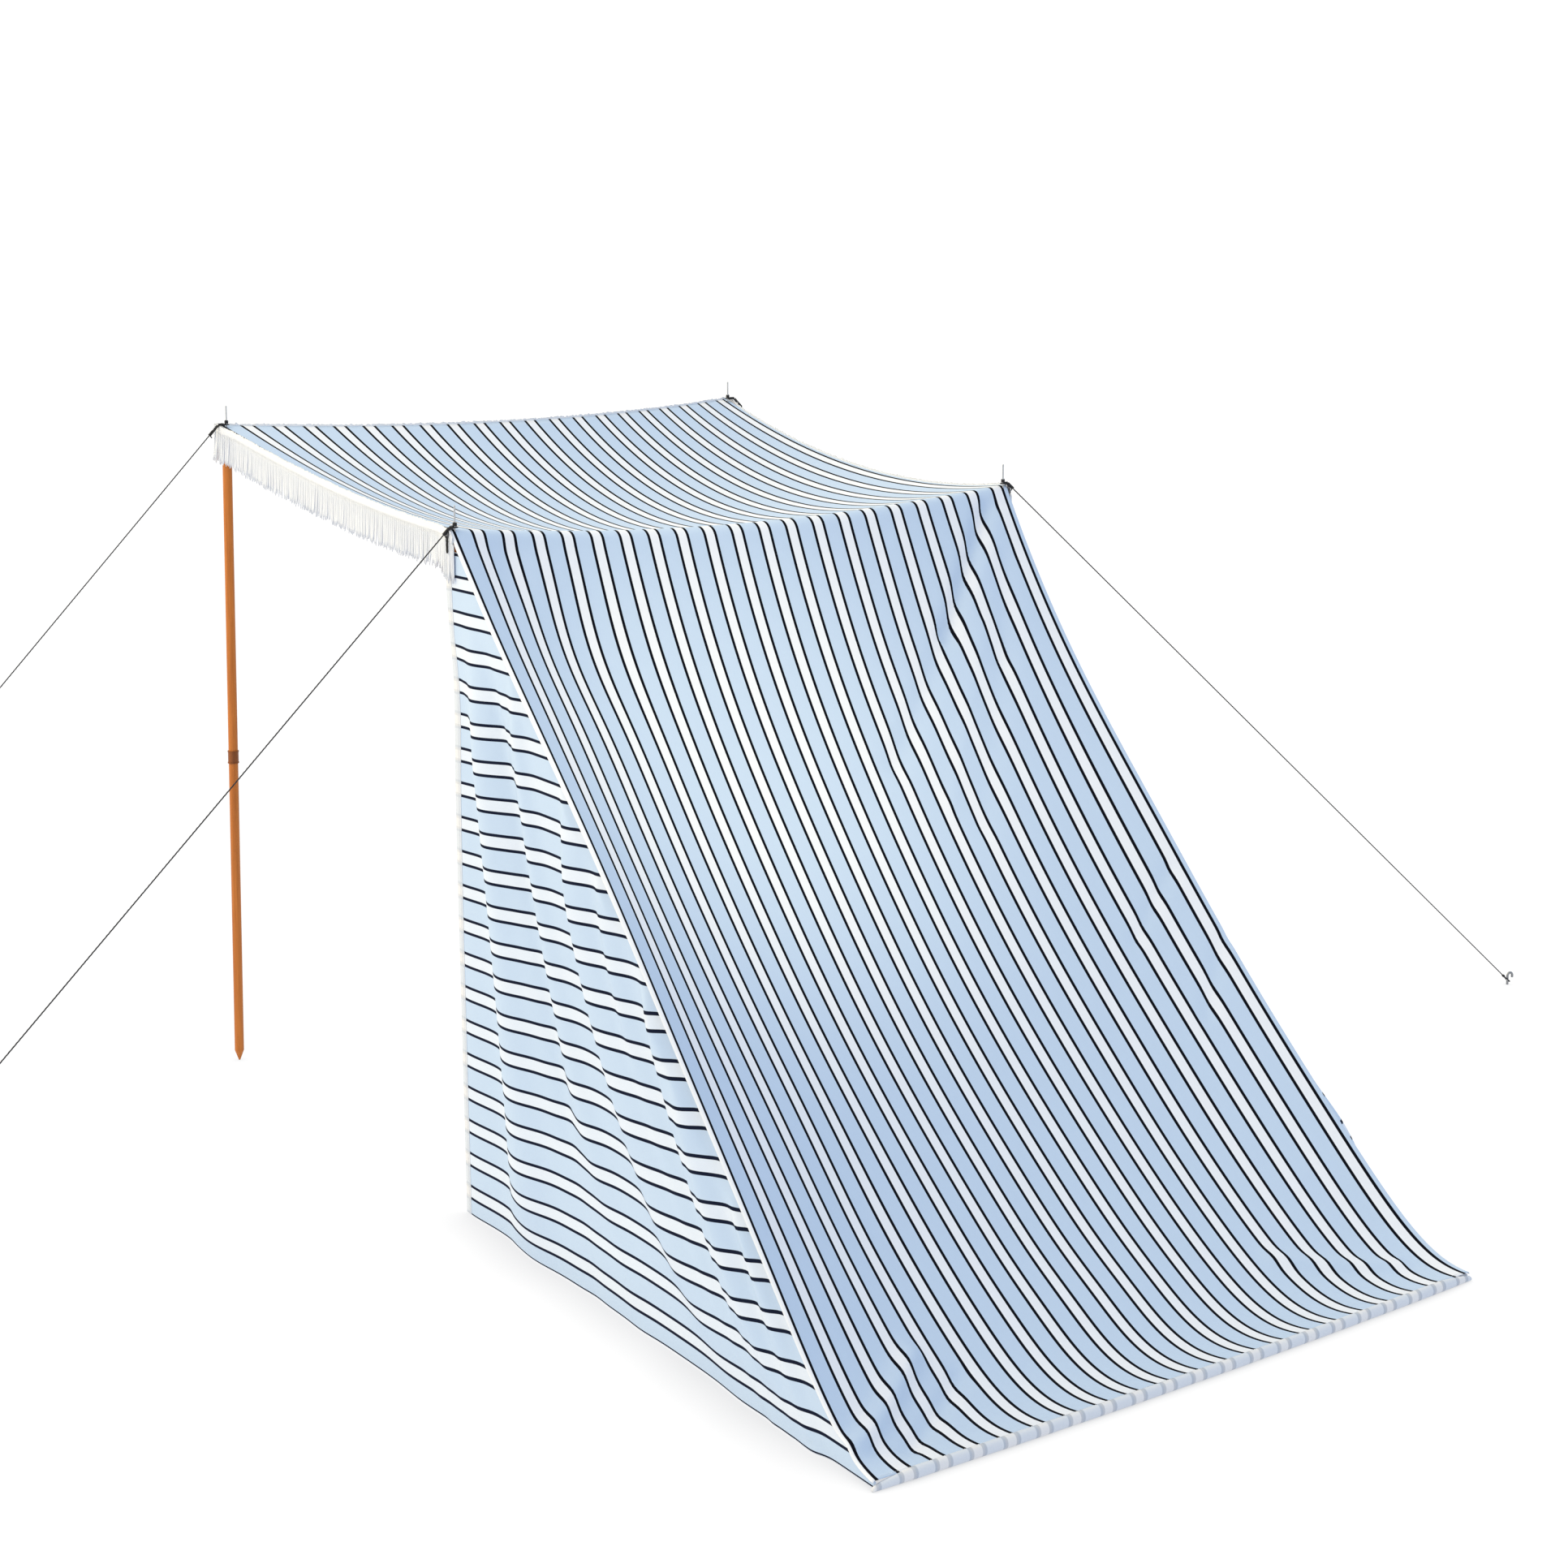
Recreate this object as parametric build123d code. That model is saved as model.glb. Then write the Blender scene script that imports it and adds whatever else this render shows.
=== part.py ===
# Striped beach windbreak with a canopy roof, four pointed poles and taut guy ropes.
# All sizes are in millimetres, +Z is up. X = 0 is the middle of the width, the sloping
# back wall faces -Y and the open front faces +Y. The ground is Z = 0.
import os
from math import acos, atan2, cos, hypot, sin

from build123d import *

# Frame: where the four poles stand
POLE_SPACING = 1592.0
ROOF_DEPTH = 1295.0
RIDGE_HEIGHT = 1600.0
FRONT_HEIGHT = 1740.0
BACK_RUN = 1600.0

# Cloth sheet
CLOTH_THICKNESS = 3.0
SIDE_OVERHANG = 22.0
FRONT_OVERHANG = 30.0
THIRD_SHARE = 1.0 / 3.0
TWO_THIRDS_SHARE = 2.0 / 3.0

# Control nets of the sagging sheet, one row for each third of the width from left to right
# and one column for each third of the way from the ridge. Runs are measured from the ridge.
RIDGE_INSET = 40.0
RIDGE_SAG_PULL = 60.0
FRONT_INSET = 180.0
FRONT_SAG_PULL = 27.0
ROOF_RISE_LEFT = (15.0, 73.0)
ROOF_RISE_MID_LEFT = (-230.0, -115.0)
ROOF_RISE_MID_RIGHT = (-180.0, -130.0)
ROOF_RISE_RIGHT = (-60.0, 3.0)
BACK_RUN_LEFT = (500.0, 1035.0)
BACK_RUN_MID_LEFT = (200.0, 790.0)
BACK_RUN_MID_RIGHT = (285.0, 805.0)
BACK_RUN_RIGHT = (400.0, 940.0)
BACK_HEIGHT_LEFT = (1055.0, 500.0)
BACK_HEIGHT_MID_LEFT = (815.0, 185.0)
BACK_HEIGHT_MID_RIGHT = (875.0, 165.0)
BACK_HEIGHT_RIGHT = (985.0, 380.0)

# Rolled hem along the foot of the back wall
HEM_HEIGHT = 30.0
HEM_DEPTH = 24.0
HEM_RADIUS = 9.0

# Side walls and the turned hem on their front edges
WALL_THICKNESS = 3.0
WALL_TOP_DROP = 48.0
FRONT_HEM_WIDTH = 18.0
FRONT_HEM_THICKNESS = 2.5
TIE_SET_BACK = 7.0

# Fringe
FRINGE_LENGTH = 100.0
FRINGE_THICKNESS = 5.0
FRINGE_TRIM = 10.0

# Poles: the feet of the ridge poles stand inside the walls, those of the front poles just outside
POLE_RADIUS = 12.5
RIDGE_FOOT_INSET = 60.0
FRONT_FOOT_INSET = -16.0
POLE_JOINT_HEIGHT = 845.0
POLE_POINT_LENGTH = 28.0
POLE_TIP_RADIUS = 2.0
POLE_TOP_TAPER = 14.0
POLE_TOP_RADIUS = 5.0
RIDGE_POLE_SEAT_DROP = 16.0
FRONT_POLE_SEAT_DROP = 13.0
FERRULE_RADIUS = 14.0
FERRULE_LENGTH = 34.0
FERRULE_BEAD_RADIUS = 15.0
FERRULE_BEAD_LENGTH = 3.0
FERRULE_CLEARANCE = 0.1

# Pins in the pole tops
PIN_RADIUS = 2.0
PIN_BURIED = 40.0
PIN_SHOWING = 50.0
PIN_HOLE_CLEARANCE = 0.2
PIN_SOCKET_CLEARANCE = 0.05

# Guy ropes
ROPE_RADIUS = 1.5
LOOP_CLEARANCE = 0.2
LOOP_LENGTH = 27.0
LOOP_DROP = 26.0
LOOP_PINCH = 2.0
BEND_LENGTH = 5.0
KNOT_RADIUS = 5.0
TAIL_LENGTH = 14.0
RIDGE_ROPE_OUT = 1785.0
RIDGE_ROPE_BACK = 235.0
FRONT_ROPE_OUT = 1660.0
FRONT_ROPE_BACK = 0.0
ROPE_EYE_HEIGHT = 14.0
EYE_KNOT_RADIUS = 4.0
EYE_KNOT_DISTANCE = 16.0

# Ground pegs, the part above ground
PEG_RADIUS = 3.5
PEG_STEM = 26.0
PEG_HOOK_RADIUS = 9.0
PEG_HOOK_TAIL = 6.0

# Reach of cutting tools, longer than any piece
REACH = 6000.0

HALF_SPACING = POLE_SPACING / 2
HALF_CLOTH = HALF_SPACING + SIDE_OVERHANG
FRONT_REACH = ROOF_DEPTH + FRONT_OVERHANG
BACK_REACH = BACK_RUN + HEM_DEPTH / 2
RIDGE_Y = (BACK_REACH - FRONT_REACH) / 2
FRONT_POLE_Y = RIDGE_Y + ROOF_DEPTH
HEM_TOP = HEM_HEIGHT + CLOTH_THICKNESS

os.makedirs("parts", exist_ok=True)


def net(columns):
    """Turn four rows of (run, height) control points into points in space."""
    shares = (0, THIRD_SHARE, TWO_THIRDS_SHARE, 1)
    return [
        [Vector(HALF_CLOTH * (2 * share - 1), RIDGE_Y + run, height) for run, height in row]
        for share, row in zip(shares, columns)
    ]


def roof_row(ridge_in, ridge_pull, front_in, front_pull, rises):
    """Control points of the roof from the ridge to the front edge."""
    ridge = (ridge_in, RIDGE_HEIGHT - ridge_pull)
    front = (FRONT_REACH - front_in, FRONT_HEIGHT - front_pull)
    step = (front[0] - ridge[0]) * THIRD_SHARE
    return [
        ridge,
        (ridge[0] + step, RIDGE_HEIGHT + rises[0]),
        (ridge[0] + step * 2, RIDGE_HEIGHT + rises[1]),
        front,
    ]


def back_row(ridge_in, ridge_pull, runs, heights):
    """Control points of the back wall from the ridge to its foot."""
    return [
        (ridge_in, RIDGE_HEIGHT - ridge_pull),
        (-runs[0], heights[0]),
        (-runs[1], heights[1]),
        (-BACK_RUN, HEM_TOP),
    ]


def below(face, top, depth):
    """Solid between two copies of a sheet lowered by top and by top + depth."""
    return extrude(Pos(0, 0, -top) * face, depth, dir=(0, 0, -1))


def rod(start, end, radius):
    """Round bar between two points."""
    run = Vector(*end) - Vector(*start)
    return Solid.make_cylinder(radius, run.length, Plane(origin=start, z_dir=run))


def pipe(edges, radius):
    """Round bar along joined edges."""
    path = Wire(edges)
    return sweep(Plane(origin=path @ 0, z_dir=path % 0) * Circle(radius), path)


def ball(centre, radius):
    """Sphere at a point."""
    return Pos(*centre) * Sphere(radius)


roof_face = Face.make_bezier_surface(net([
    roof_row(0, 0, 0, 0, ROOF_RISE_LEFT),
    roof_row(RIDGE_INSET, RIDGE_SAG_PULL, FRONT_INSET, FRONT_SAG_PULL, ROOF_RISE_MID_LEFT),
    roof_row(RIDGE_INSET, RIDGE_SAG_PULL, FRONT_INSET, FRONT_SAG_PULL, ROOF_RISE_MID_RIGHT),
    roof_row(0, 0, 0, 0, ROOF_RISE_RIGHT),
]))
back_face = Face.make_bezier_surface(net([
    back_row(0, 0, BACK_RUN_LEFT, BACK_HEIGHT_LEFT),
    back_row(RIDGE_INSET, RIDGE_SAG_PULL, BACK_RUN_MID_LEFT, BACK_HEIGHT_MID_LEFT),
    back_row(RIDGE_INSET, RIDGE_SAG_PULL, BACK_RUN_MID_RIGHT, BACK_HEIGHT_MID_RIGHT),
    back_row(0, 0, BACK_RUN_RIGHT, BACK_HEIGHT_RIGHT),
]))

pole_tops = {
    "ridge_left": (-HALF_SPACING, RIDGE_Y),
    "ridge_right": (HALF_SPACING, RIDGE_Y),
    "front_left": (-HALF_SPACING, FRONT_POLE_Y),
    "front_right": (HALF_SPACING, FRONT_POLE_Y),
}
parts = {}

# Cloth: the roof and the back wall are one sheet bent over the ridge
pin_holes = [
    Pos(x, y, 0) * Cylinder(PIN_RADIUS + PIN_HOLE_CLEARANCE, REACH) for x, y in pole_tops.values()
]
sheet = below(roof_face, 0, CLOTH_THICKNESS) + below(back_face, 0, CLOTH_THICKNESS)
for hole in pin_holes:
    sheet = sheet - hole
parts["canopy_sheet"] = sheet

# Side walls hang from the edges of the back wall and stop at the ground
under_back = below(back_face, CLOTH_THICKNESS, RIDGE_HEIGHT)
under_roof = below(roof_face, CLOTH_THICKNESS, FRINGE_LENGTH)
wall_length = BACK_RUN - HEM_DEPTH / 2
wall_top = RIDGE_HEIGHT - WALL_TOP_DROP
for side, sign in (("left", -1), ("right", 1)):
    wall_x = sign * (HALF_CLOTH - WALL_THICKNESS / 2)
    slab = Pos(wall_x, RIDGE_Y - wall_length / 2, wall_top / 2) * Box(
        WALL_THICKNESS, wall_length, wall_top)
    parts[f"{side}_side_wall"] = slab & under_back
    hem_x = sign * (HALF_CLOTH + FRONT_HEM_THICKNESS / 2)
    parts[f"{side}_wall_front_hem"] = Pos(hem_x, RIDGE_Y - FRONT_HEM_WIDTH / 2, wall_top / 2) * Box(
        FRONT_HEM_THICKNESS, FRONT_HEM_WIDTH, wall_top)
    tie_x = sign * (HALF_CLOTH + ROPE_RADIUS + LOOP_CLEARANCE)
    tie_y = RIDGE_Y - TIE_SET_BACK
    tie_top = RIDGE_HEIGHT - ROPE_RADIUS
    parts[f"{side}_wall_tie"] = rod((tie_x, tie_y, wall_top), (tie_x, tie_y, tie_top), ROPE_RADIUS)

# Rolled hem on the ground along the foot of the back wall
hem_profile = Pos(RIDGE_Y - BACK_RUN, HEM_HEIGHT / 2) * RectangleRounded(HEM_DEPTH, HEM_HEIGHT, HEM_RADIUS)
parts["back_hem"] = extrude(Plane.YZ * hem_profile, HALF_CLOTH, both=True)

# Fringe: bands of one length under the two sides and the front edge of the roof
for side, sign in (("left", -1), ("right", 1)):
    band_x = sign * (HALF_CLOTH - FRINGE_THICKNESS / 2)
    band_length = FRONT_REACH - FRINGE_THICKNESS * 4
    band = Pos(band_x, RIDGE_Y + band_length / 2, FRONT_HEIGHT) * Box(
        FRINGE_THICKNESS, band_length, FRONT_HEIGHT)
    parts[f"{side}_fringe"] = band & under_roof


def front_edge(shift):
    """Plan of the front edge of the roof, moved towards the front by shift."""
    front = RIDGE_Y + FRONT_REACH + shift
    inner = HALF_CLOTH * THIRD_SHARE
    return Bezier((-HALF_CLOTH, front), (-inner, front - FRONT_INSET),
                  (inner, front - FRONT_INSET), (HALF_CLOTH, front))


inner_edge = front_edge(-FRINGE_THICKNESS)
outer_edge = front_edge(FRINGE_TRIM)
strip = make_face([
    inner_edge,
    Line(inner_edge @ 1, outer_edge @ 1),
    outer_edge,
    Line(outer_edge @ 0, inner_edge @ 0),
])
parts["front_fringe"] = extrude(strip, FRONT_HEIGHT * 2) & under_roof

# Poles: two sections butted inside a ferrule, with a pin in the top
for name, (x, y) in pole_tops.items():
    ridge = name.startswith("ridge")
    sign = -1 if name.endswith("left") else 1
    height, drop, inset = ((RIDGE_HEIGHT, RIDGE_POLE_SEAT_DROP, RIDGE_FOOT_INSET) if ridge
                           else (FRONT_HEIGHT, FRONT_POLE_SEAT_DROP, FRONT_FOOT_INSET))
    top = Vector(x, y, height - drop)
    lean = (Vector(sign * inset, 0, top.Z)).normalized()
    foot = Vector(x - sign * inset, y, POLE_TIP_RADIUS * abs(lean.X))
    axis = (top - foot).normalized()
    neck = foot + axis * POLE_POINT_LENGTH
    joint = foot + axis * POLE_JOINT_HEIGHT
    shoulder = top - axis * POLE_TOP_TAPER
    point = Solid.make_cone(POLE_TIP_RADIUS, POLE_RADIUS, POLE_POINT_LENGTH, Plane(origin=foot, z_dir=axis))
    parts[f"{name}_pole_lower"] = point + rod(neck, joint, POLE_RADIUS)
    taper = Solid.make_cone(POLE_RADIUS, POLE_TOP_RADIUS, POLE_TOP_TAPER, Plane(origin=shoulder, z_dir=axis))
    socket = rod((x, y, top.Z - PIN_BURIED), (x, y, height), PIN_RADIUS + PIN_SOCKET_CLEARANCE)
    parts[f"{name}_pole_upper"] = rod(joint, shoulder, POLE_RADIUS) + taper - socket
    sleeve_low = joint - axis * FERRULE_LENGTH / 2
    sleeve_high = joint + axis * FERRULE_LENGTH / 2
    sleeve = rod(sleeve_low, sleeve_high, FERRULE_RADIUS)
    sleeve = sleeve + rod(sleeve_low, sleeve_low + axis * FERRULE_BEAD_LENGTH, FERRULE_BEAD_RADIUS)
    sleeve = sleeve + rod(sleeve_high, sleeve_high - axis * FERRULE_BEAD_LENGTH, FERRULE_BEAD_RADIUS)
    bore = rod(foot, top, POLE_RADIUS + FERRULE_CLEARANCE)
    parts[f"{name}_ferrule"] = sleeve - bore
    pin_end = (x, y, height + PIN_SHOWING)
    parts[f"{name}_pin"] = rod((x, y, top.Z - PIN_BURIED), pin_end, PIN_RADIUS) + ball(pin_end, PIN_RADIUS)

# Guy ropes: a doubled loop over the pin, a knot and a straight line down to a peg
for name, (x, y) in pole_tops.items():
    ridge = name.startswith("ridge")
    sign = -1 if name.endswith("left") else 1
    out, back = ((RIDGE_ROPE_OUT, RIDGE_ROPE_BACK) if ridge else (FRONT_ROPE_OUT, FRONT_ROPE_BACK))
    height = RIDGE_HEIGHT if ridge else FRONT_HEIGHT
    heading = Vector(sign * out, -back, 0).normalized()
    across = Vector(-heading.Y, heading.X, 0)
    pin = Vector(x, y, height + ROPE_RADIUS + LOOP_CLEARANCE)
    ring = PIN_RADIUS + LOOP_CLEARANCE + ROPE_RADIUS
    peg = Vector(x + sign * out, y - back, ROPE_EYE_HEIGHT)
    bend = pin + heading * LOOP_LENGTH
    run = (peg - bend).normalized()
    eye = (PEG_RADIUS + LOOP_CLEARANCE + ROPE_RADIUS) / run.dot(heading)
    eye_knot = peg - run * (eye + EYE_KNOT_DISTANCE)
    knot = bend + run * LOOP_DROP
    side = across * ring
    pinch = across * LOOP_PINCH
    drop = (knot + pinch - bend - side).normalized() * BEND_LENGTH
    drop_back = (knot - pinch - bend + side).normalized() * BEND_LENGTH
    level = heading * BEND_LENGTH
    loop = pipe([
        Line(knot + pinch, bend + side + drop),
        TangentArc(bend + side + drop, bend + side - level, tangent=-drop),
        Line(bend + side - level, pin + side),
        ThreePointArc(pin + side, pin - heading * ring, pin - side),
        Line(pin - side, bend - side - level),
        TangentArc(bend - side - level, bend - side + drop_back, tangent=level),
        Line(bend - side + drop_back, knot - pinch),
    ], ROPE_RADIUS)
    crest = across.cross(run)
    knot_ball = Plane(origin=knot, x_dir=crest, z_dir=across) * Sphere(KNOT_RADIUS)
    eye_ball = Plane(origin=eye_knot, x_dir=crest, z_dir=across) * Sphere(EYE_KNOT_RADIUS)
    rope = loop + knot_ball + rod(knot, eye_knot, ROPE_RADIUS)
    tail = knot - Vector(0, 0, TAIL_LENGTH)
    rope = rope + rod(knot, tail, ROPE_RADIUS)
    behind = eye + EYE_KNOT_DISTANCE
    turn = atan2(LOOP_PINCH, behind) + acos(eye / hypot(behind, LOOP_PINCH))
    touch = peg - run * (eye * cos(turn))
    wide = across * (eye * sin(turn))
    end_loop = pipe([
        Line(eye_knot + pinch, touch + wide),
        ThreePointArc(touch + wide, peg + run * eye, touch - wide),
        Line(touch - wide, eye_knot - pinch),
    ], ROPE_RADIUS)
    rope = rope + end_loop + eye_ball
    parts[f"{name}_guy_rope"] = rope
    foot = Vector(peg.X, peg.Y, 0)
    neck = foot + Vector(0, 0, PEG_STEM)
    crown = neck + heading * PEG_HOOK_RADIUS + Vector(0, 0, PEG_HOOK_RADIUS)
    far = neck + heading * PEG_HOOK_RADIUS * 2
    tip = far - Vector(0, 0, PEG_HOOK_TAIL)
    parts[f"{name}_peg"] = pipe([
        Line(foot, neck), ThreePointArc(neck, crown, far), Line(far, tip),
    ], PEG_RADIUS)

for name, shape in parts.items():
    export_step(shape, f"parts/{name}.step")
    box = shape.bounding_box()
    print(name, len(shape.solids()), shape.is_valid, round(shape.volume),
          [round(v, 1) for v in (*box.min, *box.max)])
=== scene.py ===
# %% [markdown]
# # A striped beach windbreak
# The CAD model gives poles, pins, pegs and plain slabs for the cloth. This lesson keeps the hard
# parts and makes the soft ones again: one striped sheet over four poles, two folded side walls,
# a fringe and four taut ropes. Every length is in metres, in the frame of the CAD model.

import bpy
import numpy as np
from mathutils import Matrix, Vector


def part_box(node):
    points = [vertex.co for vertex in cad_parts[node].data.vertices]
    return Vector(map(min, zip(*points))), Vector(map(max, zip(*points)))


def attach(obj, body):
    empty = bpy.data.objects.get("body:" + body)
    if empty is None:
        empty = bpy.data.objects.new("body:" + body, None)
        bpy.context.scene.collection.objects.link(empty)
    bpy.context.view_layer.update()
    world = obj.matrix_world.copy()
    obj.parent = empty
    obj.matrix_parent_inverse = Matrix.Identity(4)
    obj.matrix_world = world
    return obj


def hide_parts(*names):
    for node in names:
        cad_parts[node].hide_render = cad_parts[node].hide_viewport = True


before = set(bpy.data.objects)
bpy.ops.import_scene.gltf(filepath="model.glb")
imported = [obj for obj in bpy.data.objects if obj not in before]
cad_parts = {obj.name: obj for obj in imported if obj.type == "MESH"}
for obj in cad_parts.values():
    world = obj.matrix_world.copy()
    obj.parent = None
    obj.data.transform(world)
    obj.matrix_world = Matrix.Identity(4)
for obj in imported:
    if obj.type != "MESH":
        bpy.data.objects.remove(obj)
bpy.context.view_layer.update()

# %% [markdown]
# ## The camera
# The photograph was taken from the back left corner, a little above the roof. A camera is a place,
# a direction and a lens, so the bearing and the dip are turned into one direction vector. The
# small shift moves the frame without tilting the poles, as an architect's camera does.

# %% Camera
CAMERA_PLACE = (-3.447, -4.9805, 2.326)
CAMERA_BEARING = np.radians(34.842)
CAMERA_DIP = np.radians(7.722)
CAMERA_LENS = 58.92
CAMERA_SHIFT = (-0.0034, -0.1492)

scene = bpy.context.scene
camera_data = bpy.data.cameras.new("camera")
camera_data.lens = CAMERA_LENS
camera_data.sensor_width = 36
camera_data.shift_x, camera_data.shift_y = CAMERA_SHIFT
camera = bpy.data.objects.new("camera", camera_data)
sight = Vector((
    np.cos(CAMERA_DIP) * np.sin(CAMERA_BEARING),
    np.cos(CAMERA_DIP) * np.cos(CAMERA_BEARING),
    -np.sin(CAMERA_DIP),
))
camera.location = CAMERA_PLACE
camera.rotation_euler = sight.to_track_quat("-Z", "Y").to_euler()
scene.collection.objects.link(camera)
scene.camera = camera
print("camera looks along", [round(v, 3) for v in sight])

# %% [markdown]
# ## Grids
# A cloth could be cut from a subdivided plane and pushed about by hand. A sheet with a known
# stripe pattern is easier to control as a grid: one array of points, one array of flat cloth
# coordinates, and a face between every four neighbours. All soft pieces here are made that way.


# %% Grid helpers
UP = np.array([0, 0, 1.0])
SIDES = {"left": -1, "right": 1}


def four(table):
    """Corner numbers of every face of a grid, in turning order."""
    sides = (table[:-1, :-1], table[1:, :-1], table[1:, 1:], table[:-1, 1:])
    return np.stack(sides, axis=-1).reshape(-1, 4)


def ends(table):
    """Corner numbers of the two faces that close a tube whose last column repeats the first."""
    return np.stack([table[0, :-1], table[-1, -2::-1]])


def pair(first, second):
    """Cloth coordinates of a grid from two arrays, each spread over the grid where it is smaller."""
    return np.stack(np.broadcast_arrays(first, second), axis=-1)


def mesh_piece(name, points, faces, flat, materials):
    """A mesh in the scene, with the cloth coordinates of every corner of its faces."""
    mesh = bpy.data.meshes.new(name)
    mesh.from_pydata(points.reshape(-1, 3), [], faces)
    layer = mesh.uv_layers.new(name="cloth")
    layer.data.foreach_set("uv", flat.ravel().astype(np.float32))
    mesh.shade_smooth()
    for material in materials:
        mesh.materials.append(material)
    piece = bpy.data.objects.new(name, mesh)
    scene.collection.objects.link(piece)
    return piece


def grid_piece(name, points, flat, materials, around=False):
    """Mesh of a grid of points (rows, columns, 3): each face joins four neighbours. With around,
    the last column is joined to the first and both ends are closed by one face. flat holds the
    cloth coordinates of the grid."""
    rows, columns = points.shape[:2]
    index = np.arange(rows * columns).reshape(rows, columns)
    corner = np.arange(flat.shape[0] * flat.shape[1]).reshape(flat.shape[:2])
    if around:
        index = np.hstack([index, index[:, :1]])
    faces, labels = [*four(index)], four(corner).ravel()
    if around:
        faces += [*ends(index)]
        labels = np.concatenate([labels, ends(corner).ravel()])
    return mesh_piece(name, points, faces, flat.reshape(-1, 2)[labels], materials)


# %% Cloth and line helpers
def thicken(piece, depth, inner_material):
    """Give a sheet its depth behind the visible face, with its own finish on the reverse."""
    solid = piece.modifiers.new("depth", "SOLIDIFY")
    solid.thickness = depth
    solid.offset = -1
    solid.material_offset = inner_material


def step(low, high, value):
    """Smooth step from 0 at low to 1 at high."""
    share = np.clip((value - low) / (high - low), 0, 1)
    return share * share * (3 - 2 * share)


def hump(value, middle, width):
    """Bell curve of height 1."""
    return np.exp(-(((value - middle) / width) ** 2))


def circle(count):
    """Angles of an even circle."""
    return np.linspace(0, 2 * np.pi, count, endpoint=False)


def spokes(first, second, turn):
    """Directions at the angles of a circle that two directions span."""
    return first[..., None, :] * np.cos(turn)[:, None] + second[..., None, :] * np.sin(turn)[:, None]


def unit(vectors):
    """The same directions with length 1."""
    return vectors / np.linalg.norm(vectors, axis=-1, keepdims=True)


def distances(line):
    """How far every point of a line is from its start, along the line."""
    return np.concatenate([[0], np.cumsum(np.linalg.norm(np.diff(line, axis=0), axis=1))])


def along_line(place, far, values):
    """Values of a line at other distances, each axis joined straight between its points."""
    return np.stack([np.interp(place, far, values[:, axis]) for axis in range(3)], axis=-1)


# %% [markdown]
# ## Shader maths in plain Python
# Stripes are arithmetic on one cloth coordinate. Wiring dozens of Math nodes by hand hides that,
# so this class wraps a socket: adding or multiplying two wires adds the node that does it.


# %% Wire class
class Wire:
    """An output socket in a material's node tree, with Python's operators as Math nodes."""

    def __init__(self, tree, socket=None):
        self.tree = tree
        self.socket = socket

    def node(self, kind, settings, inputs, out=0):
        """Add one node: its settings first, then the values or wires of its sockets."""
        made = self.tree.nodes.new("ShaderNode" + kind)
        for key, value in settings.items():
            setattr(made, key, value)
        for key, value in inputs.items():
            if isinstance(value, Wire):
                self.tree.links.new(value.socket, made.inputs[key])
            else:
                made.inputs[key].default_value = value
        return Wire(self.tree, made.outputs[out])

    def maths(self, operation, *values, clamp=False):
        """A Math node on this wire and further values."""
        inputs = dict(enumerate((self, *values)))
        return self.node("Math", {"operation": operation, "use_clamp": clamp}, inputs)

    def __add__(self, other):
        return self.maths("ADD", other)

    def __sub__(self, other):
        return self.maths("SUBTRACT", other)

    def __rsub__(self, other):
        return self.node("Math", {"operation": "SUBTRACT"}, {0: other, 1: self})

    def __mul__(self, other):
        return self.maths("MULTIPLY", other)

    def __truediv__(self, other):
        return self.maths("DIVIDE", other)

    def __abs__(self):
        return self.maths("ABSOLUTE")

    __radd__ = __add__
    __rmul__ = __mul__

    def within(self, half, soft):
        """1 where the wire is nearer to zero than half, fading over soft."""
        return (half + soft / 2 - abs(self)).maths("DIVIDE", soft, clamp=True)

    def mix(self, low, high):
        """Colour from low to high, with this wire as the factor."""
        return self.node("Mix", {"data_type": "RGBA"}, {0: self, 6: low, 7: high}, out=2)

    def noise(self, scale, detail, **more):
        """Noise of one scale, at the place that this wire gives."""
        return self.node("TexNoise", {}, {"Vector": self, "Scale": scale, "Detail": detail, **more})

    def bump(self, strength, distance, **below):
        """A bent normal from this height, over another normal where one is given."""
        inputs = {"Strength": strength, "Distance": distance, "Height": self, **below}
        return self.node("Bump", {}, inputs)


def linear(red, green, blue):
    """Linear colour with alpha from the 0 to 255 values of a screen."""
    screen = np.array([red, green, blue]) / 255
    light = np.where(screen <= 0.04045, screen / 12.92, ((screen + 0.055) / 1.055) ** 2.4)
    return (*(float(v) for v in light), 1.0)


# %% Finish helpers
FULL_TURN = 6.2832


def new_finish(name):
    """An empty material, the wire to start from and its shader node."""
    material = bpy.data.materials.new(name)
    material.use_nodes = True
    shader = material.node_tree.nodes["Principled BSDF"]
    return material, Wire(material.node_tree), shader


def plug(shader, **inputs):
    """Join wires to a shader's sockets and set numbers on them; underscores stand for spaces."""
    for key, value in inputs.items():
        socket = shader.inputs[key.replace("_", " ")]
        if isinstance(value, Wire):
            shader.id_data.links.new(value.socket, socket)
        else:
            socket.default_value = value


def object_place(wire):
    """Where a point is on the object."""
    return wire.node("TexCoord", {}, {}, out="Object")


def cloth_axes(wire):
    """The two cloth coordinates of a point."""
    flat = wire.node("UVMap", {"uv_map": "cloth"}, {})
    return [wire.node("SeparateXYZ", {}, {0: flat}, out=side) for side in (0, 1)]


# %% [markdown]
# ## The striped cloth
# The real sheet is a plain woven cotton: blue and white bands with a thin navy line at each
# change. Painting an image would blur up close. The pattern repeats, so the remainder of the
# cloth coordinate over one repeat says which band a point is in. The weave is two crossed waves
# that only lift the surface, and slow noise keeps the dye from looking like plastic.

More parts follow.
